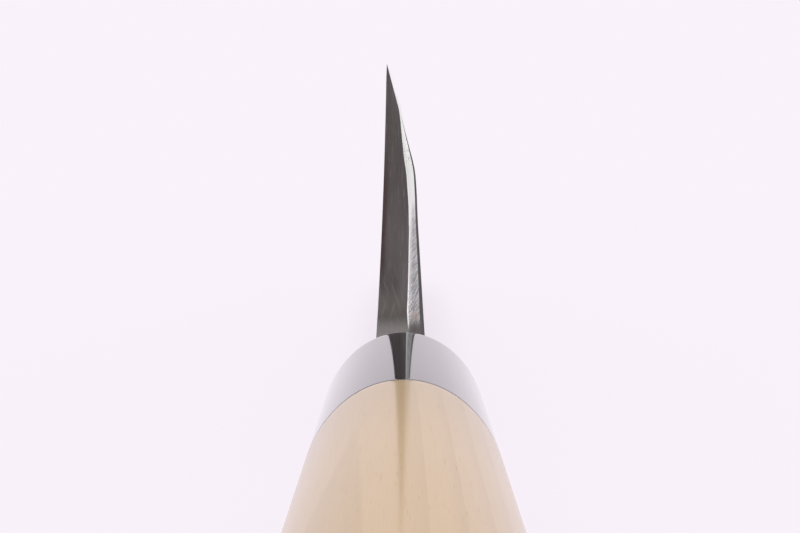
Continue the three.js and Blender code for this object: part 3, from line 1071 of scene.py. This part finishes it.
@finish
def burnished_highlight_line(shading, colours):
    """Thin burnished line where the heel face meets the ground corner, painted brighter than the metal as a
    painted highlight along the edge.
    """
    height = shading.axes()[2]
    nicks = shading.noise(3.0, 3.0, 1.4, roughness=0.6)
    foot = shading.fall(height + 2.4 * nicks, 24.0, 25.4)
    # Painted highlight: the line is painted lighter than the corner's own colour.
    bright = shading.mix(shading.ramp(nicks, 0.55, 0.75), darker(colours.corner, 1.12), colours.corner_worn)
    tone = shading.mix(foot * 0.9, bright, colours.corner_foot)
    return metal(tone, 0.14 + 0.12 * nicks, shading.relief(nicks, 0.02, 0.4))


@finish
def bright_corner(shading, colours, form):
    """Ground corner: bright and smooth at the top, file marks and pits lower down, a dull foot."""
    x, _, z = shading.axes()
    low = shading.fall(z, 25.0, 33.0)
    fresh = shading.ramp(z, 44.5, 49.0)
    side = (form.sizes.spine_left + form.sizes.spine_thickness) / MM - form.hira_lean * z
    width = 1.2 + 1.3 * shading.fall(z, 22.0, 41.0)
    inner = shading.ramp((side - x) / width, 0.5, 0.85)
    worn = shading.fall(z + 3.0 * inner, 37.0, 41.6)
    files = shading.noise(0.8, 0.8, 7.6, detail=1.5, distortion=0.1, slant=((0.65, -0.76, 0.0), -49.0))
    grit = shading.noise(5.4, 5.4, 4.6, detail=2.0, roughness=0.6)
    strokes = shading.ramp(files, 0.42, 0.58) * worn * (1.0 - 0.7 * inner)
    specks = shading.ramp(grit, 0.5, 0.6) * low * (0.45 + 0.55 * inner)
    pits = shading.ramp(grit, 0.56, 0.64) * shading.window(z, 44.5, 46.0, 49.0, 50.5)
    near_side = (1.0 - inner) * shading.window(z, 23.6, 24.2, 25.0, 25.8)
    stain = near_side * shading.ramp(shading.noise(1.3, 1.3, 0.9), 0.3, 0.55)
    foot = shading.fall(z + 2.2 * grit, 24.0, 25.9)
    smooth = shading.tones(fresh, colours.corner, 1.0, 1.12)
    clean = shading.mix(worn * (1.0 - 0.6 * inner), smooth, darker(colours.corner_worn, 1.15))
    worked = strokes * 0.62 + specks * 0.7 + pits * 0.55
    marked = shading.mix(worked, clean, darker(colours.corner_worn, 0.3))
    stained = shading.mix(stain * 0.35, marked, colours.rust)
    tone = shading.mix(foot * 0.92, stained, colours.corner_foot)
    roughness = 0.18 + 0.12 * worn + 0.1 * specks
    return metal(tone, roughness, shading.relief(files * worn - 0.5 * grit * low, 0.04, 0.7))


@finish
def dark_band(shading, colours):
    """Outer band of the corner, painted dark with fine specks."""
    speck = shading.noise(4.0, 4.0, 1.2, detail=4.0, roughness=0.65)
    tone = shading.tones(speck, colours.dark_band_tint, 0.6, 1.4)
    return metal(tone, 0.42 + 0.2 * speck, shading.relief(speck, 0.02, 0.4), metallic=0.6)


@finish
def brushed_spine(shading, colours):
    """Spine: cross marks of the belt."""
    marks = shading.noise(0.15, 7.0, 0.6, detail=5.0, roughness=0.62)
    broad = shading.noise(0.08, 0.9, 0.3, detail=4.0, roughness=0.6)
    tone = shading.tones(marks * 0.6 + broad * 0.5, colours.iron, 0.62, 0.95)
    roughness = 0.24 + 0.16 * marks + 0.06 * broad
    return metal(tone, roughness, shading.relief(marks + 0.5 * broad, 0.008, 0.5))


@finish
def forged_tang(shading, colours):
    """Tang and weld: darker, with the uneven skin of forging."""
    skin = shading.noise(0.7, 0.5, 0.7, detail=5.0, roughness=0.6)
    grit = shading.noise(3.0, 3.0, 3.0, roughness=0.6)
    tone = shading.tones(skin * 0.8 + grit * 0.3, colours.forged, 0.6)
    return metal(tone, 0.36 + 0.2 * skin, shading.relief(skin + 0.4 * grit, 0.05, 0.4), metallic=0.9)


@finish
def hollow_back(shading, colours):
    """Hollow of the flat side: marks of the wheel from the spine to the edge, with soft clouds."""
    wheel = shading.noise(0.5, 3.2, 0.045, detail=6.0, roughness=0.66, distortion=0.15)
    broad = shading.noise(0.2, 0.35, 0.03, detail=4.0, roughness=0.6)
    cloud = shading.noise(0.06, 0.03, 0.06)
    amount = wheel * 0.5 + broad * 0.5 + cloud * 0.4 - 0.25
    tone, dull = dulled(shading, colours, shading.tones(amount, colours.steel, 0.55, 0.86))
    roughness = 0.2 + 0.14 * wheel + 0.1 * broad + 0.1 * dull
    return metal(tone, roughness, shading.relief(wheel + broad, 0.01, 0.6))


@finish
def polished_rim(shading, colours):
    """Flat rims of the hollow side, rubbed on a flat stone along the blade."""
    lines = shading.noise(1.0, 0.1, 5.0, detail=5.0, roughness=0.6)
    tone, dull = dulled(shading, colours, shading.tones(lines, colours.steel, 0.82))
    return metal(tone, 0.12 + 0.12 * lines + 0.2 * dull, shading.relief(lines, 0.004, 0.4))


@finish
def bright_edge(shading, colours):
    """Edge steel on the bevel: brighter than the misty iron, with fine honing marks."""
    marks = shading.noise(3.0, 2.6, 0.3, detail=4.0, roughness=0.6)
    tone = shading.tones(marks, colours.steel, 0.86)
    return metal(tone, glossier(shading, 0.08 + 0.08 * marks), shading.relief(marks, 0.002, 0.3))


# Finishes of the handle


@finish
def polished_horn(shading, colours):
    """Black horn: mirror polish over faint long streaks."""
    streak = shading.noise(0.45, 0.05, 0.45, detail=4.0, roughness=0.55, distortion=0.4)
    hair = shading.noise(5.0, 0.2, 5.0, detail=4.0, roughness=0.6)
    pale = shading.ramp(streak, 0.5, 0.75)
    return {
        "Base Color": shading.mix(pale * 0.8 + hair * 0.2, colours.horn, colours.horn_streak),
        "Roughness": 0.08 + 0.06 * hair,
        "IOR": 1.56,
        "Coat Weight": 0.8,
        "Coat Roughness": 0.05,
        "Coat IOR": 1.5,
        "Normal": shading.relief(hair, 0.002, 0.3),
    }


@finish
def sanded_magnolia(shading, colours):
    """Sanded magnolia: growth rings around a heart off to one side, long fibres and fine pores, and painted
    shade on the wood near the ferrule.
    """
    heart_x, heart_z = -26.0, 58.0
    ring_width = 2.7
    x, _, z = shading.axes()
    across = x - heart_x
    upward = z - heart_z
    wander = shading.noise(0.05, 0.006, 0.05, detail=2.0)
    ring = (((across * across + upward * upward) ** 0.5 + 5.0 * wander) / ring_width) % 1.0
    late = shading.window(ring, 0.45, 0.95, 0.95, 1.0)
    fibre = shading.noise(5.0, 0.1, 5.0, detail=5.0, roughness=0.6)
    pores = shading.ramp(shading.noise(9.0, 0.35, 9.0, detail=2.0), 0.62, 0.74)
    streak = shading.noise(0.16, 0.006, 0.16)
    facing = shading.node("ShaderNodeNewGeometry", output="Normal")
    lengthwise = shading.split(facing)[1]
    end_grain = shading.ramp(lengthwise * lengthwise, 0.4, 0.95)
    # Painted shade: the wood is darkened towards the joint with the ferrule.
    painted_shade = shading.past_front(-52.0, -27.0)
    grown = shading.mix(late * 0.4 + streak * 0.35 + fibre * 0.2, colours.wood, colours.wood_late)
    porous = shading.mix(pores * 0.3, grown, colours.wood_pore)
    shaded_wood = shading.mix(painted_shade * 0.42, porous, darker(colours.wood_late, 0.8))
    return {
        "Base Color": shading.mix(end_grain * (0.4 + 0.35 * late), shaded_wood, colours.wood_end),
        "Roughness": 0.5 + 0.14 * fibre + 0.1 * pores,
        "Specular IOR Level": 0.2,
        "Coat Weight": 0.85 + 0.15 * streak - 0.3 * pores,
        "Coat Roughness": 0.16,
        "Coat IOR": 1.5,
        "Normal": shading.relief(fibre * 0.5 - pores * 0.6, 0.02, 0.4),
    }


@finish
def dull_resin(shading, colours):
    """Resin of the slot's mouth, slightly uneven."""
    wave = shading.noise(0.6, 0.6, 0.6)
    return {
        "Base Color": shading.tones(wave, colours.resin, 0.7, 1.3),
        "Roughness": 0.3 + 0.2 * wave,
        "Normal": shading.relief(wave, 0.1, 0.4),
    }


# Stage

IMAGE_WIDTH = 800
SENSOR_WIDTH = 36.0
NEAREST = 0.002
FARTHEST = 50.0
LAMP_WIDTH = 0.9
LAMP_LENGTH = 1.2
LAMP_PLACE = (-0.08, 0.1, 0.95)
FLOOR_STEPS = 8

# Where the shadow around the knife ends, in millimetres, and its core, in squares of them
SHADOW_END = (150.0, 600.0)
CORE_SIDE = (9.0, 220.0)
CORE_END = (140.0**2, 190.0**2)


def seen_directly(shading):
    """1 for what the camera, a gloss or a clear material sees, 0 for soft light."""
    camera = shading.node("ShaderNodeLightPath", output="Is Camera Ray")
    glossy, through = shading.outputs(camera, "Is Glossy Ray", "Is Transmission Ray")
    return camera.maths("MAXIMUM", camera.maths("MAXIMUM", camera, glossy), through)


def build_floor(stage):
    """Wide pale floor that keeps a soft shadow."""
    data = bpy.data.meshes.new("floor")
    draft = bmesh.new()
    bmesh.ops.create_grid(draft, x_segments=FLOOR_STEPS, y_segments=FLOOR_STEPS, size=stage.floor_size / 2)
    draft.to_mesh(data)
    draft.free()
    made, shading = new_material("floor_white")
    x, y, _ = shading.axes()
    near = shading.fall((x * x + y * y) ** 0.5, *SHADOW_END)
    under = shading.fall(x * x, *CORE_SIDE) * shading.fall(y * y, *CORE_END)
    bright = seen_directly(shading) * (1.0 - near * (stage.shadow + stage.contact * under))
    shade = shading.node("ShaderNodeBsdfDiffuse", None, {"Color": stage.background})
    glow = shading.node("ShaderNodeEmission", None, {"Color": stage.background, "Strength": 1.0})
    shading.node("ShaderNodeOutputMaterial", None, {"Surface": shading.either(bright, shade, glow)})
    data.materials.append(made)
    floor = bpy.data.objects.new("floor", data)
    bpy.context.scene.collection.objects.link(floor)


def build_room(stage):
    """White room around the knife: dim behind the camera, softly graded on the hollow side."""
    world = bpy.data.worlds.new("white_room")
    world.use_nodes = True
    shading = Shading(world.node_tree)
    camera = shading.node("ShaderNodeLightPath", output="Is Camera Ray")
    sideways, forward, upward = shading.split(shading.node("ShaderNodeTexCoord", output="Generated"))
    behind = shading.fall(forward, -0.8, -0.1) * shading.fall(upward, 0.3, 0.75)
    left = shading.fall(sideways, -0.6, 0.0) * shading.fall(upward, 0.0, 0.6)
    graded = left * shading.fall(forward, 0.35, 0.8)
    level = (1.0 - (1.0 - stage.back_light) * behind) * (1.0 - (1.0 - stage.left_light) * graded)

    def backdrop(tint, strength):
        return shading.node("ShaderNodeBackground", None, {"Color": tint, "Strength": strength})

    plain = backdrop(stage.background, 1.0)
    ahead = shading.either(shading.ramp(forward, 0.5, 0.9), backdrop(stage.light, 1.0), plain)
    room = shading.either(level, backdrop(stage.light, 0.0), ahead)
    shading.node("ShaderNodeOutputWorld", None, {"Surface": shading.either(camera, room, plain)})
    bpy.context.scene.world = world


def build_lamp(stage):
    """Broad soft lamp overhead."""
    data = bpy.data.lights.new("soft_lamp", "AREA")
    data.shape = "RECTANGLE"
    data.size = LAMP_WIDTH
    data.size_y = LAMP_LENGTH
    data.energy = stage.lamp_energy
    lamp = bpy.data.objects.new("soft_lamp", data)
    lamp.location = LAMP_PLACE
    lamp.rotation_euler = (-lamp.location).to_track_quat("-Z", "Y").to_euler()
    bpy.context.scene.collection.objects.link(lamp)


def build_camera(stage):
    """Camera close above the butt, looking along the knife."""
    data = bpy.data.cameras.new("camera")
    data.sensor_fit = "HORIZONTAL"
    data.sensor_width = SENSOR_WIDTH
    data.lens = stage.focal_pixels / IMAGE_WIDTH * SENSOR_WIDTH
    data.clip_start = NEAREST
    data.clip_end = FARTHEST
    camera = bpy.data.objects.new("camera", data)
    camera.location = (0.0, FRONT - stage.camera_back, stage.camera_height)
    camera.rotation_euler = Euler((math.pi / 2 - stage.camera_pitch, 0.0, stage.camera_turn))
    bpy.context.scene.collection.objects.link(camera)
    bpy.context.scene.camera = camera


# Operators and panel


class DEBA_OT_stage(bpy.types.Operator):
    """Build the floor, the light and the camera"""

    bl_idname = "deba_knife.stage"
    bl_label = "Stage"

    def execute(self, context):
        stage = context.scene.deba_stage
        context.scene.view_settings.view_transform = "Standard"
        build_camera(stage)
        build_floor(stage)
        build_room(stage)
        build_lamp(stage)
        return {"FINISHED"}


class DEBA_OT_blade_iron(bpy.types.Operator):
    """Build the soft iron of the blade with its neck and tang"""

    bl_idname = "deba_knife.blade_iron"
    bl_label = "Blade iron"

    def execute(self, context):
        scene = context.scene
        piece = build_blade_iron(scene.deba_blade, scene.deba_handle, scene.deba_colours)
        seat(piece, "blade_body")
        return {"FINISHED"}


class DEBA_OT_edge_steel(bpy.types.Operator):
    """Build the edge steel with its hollow back"""

    bl_idname = "deba_knife.edge_steel"
    bl_label = "Edge steel"

    def execute(self, context):
        scene = context.scene
        seat(build_edge_steel(scene.deba_blade, scene.deba_colours), "edge_steel")
        return {"FINISHED"}


class DEBA_OT_ferrule(bpy.types.Operator):
    """Build the horn ferrule"""

    bl_idname = "deba_knife.ferrule"
    bl_label = "Ferrule"

    def execute(self, context):
        scene = context.scene
        seat(build_ferrule(scene.deba_handle, scene.deba_colours), "ferrule")
        return {"FINISHED"}


class DEBA_OT_handle(bpy.types.Operator):
    """Build the magnolia handle"""

    bl_idname = "deba_knife.handle"
    bl_label = "Handle"

    def execute(self, context):
        scene = context.scene
        seat(build_handle(scene.deba_handle, scene.deba_colours), "handle")
        return {"FINISHED"}


class DEBA_OT_bedding(bpy.types.Operator):
    """Build the resin around the tang"""

    bl_idname = "deba_knife.bedding"
    bl_label = "Tang bedding"

    def execute(self, context):
        scene = context.scene
        seat(build_bedding(scene.deba_handle, scene.deba_colours), "tang_bedding")
        return {"FINISHED"}


class DEBA_PT_sidebar(bpy.types.Panel):
    """Buttons and sizes of the knife"""

    bl_label = "Deba Knife"
    bl_idname = "DEBA_PT_sidebar"
    bl_space_type = "VIEW_3D"
    bl_region_type = "UI"
    bl_category = "Deba Knife"

    def draw(self, context):
        for operator in OPERATORS:
            self.layout.operator(operator.bl_idname)
        for name, group in GROUPS.items():
            box = self.layout.box()
            for value in group.__annotations__:
                box.prop(getattr(context.scene, name), value)


GROUPS = {
    "deba_blade": BladeSizes,
    "deba_handle": HandleSizes,
    "deba_colours": FinishColours,
    "deba_stage": StageSizes,
}
OPERATORS = (
    DEBA_OT_stage,
    DEBA_OT_blade_iron,
    DEBA_OT_edge_steel,
    DEBA_OT_ferrule,
    DEBA_OT_handle,
    DEBA_OT_bedding,
)


def register():
    for name, group in GROUPS.items():
        bpy.utils.register_class(group)
        setattr(bpy.types.Scene, name, PointerProperty(type=group))
    for entry in (*OPERATORS, DEBA_PT_sidebar):
        bpy.utils.register_class(entry)


def unregister():
    for entry in (DEBA_PT_sidebar, *reversed(OPERATORS)):
        bpy.utils.unregister_class(entry)
    for name, group in reversed(GROUPS.items()):
        delattr(bpy.types.Scene, name)
        bpy.utils.unregister_class(group)


def main():
    register()
    bpy.ops.deba_knife.stage()
    bpy.ops.deba_knife.blade_iron()
    bpy.ops.deba_knife.edge_steel()
    bpy.ops.deba_knife.ferrule()
    bpy.ops.deba_knife.handle()
    bpy.ops.deba_knife.bedding()


if __name__ == "__main__":
    main()
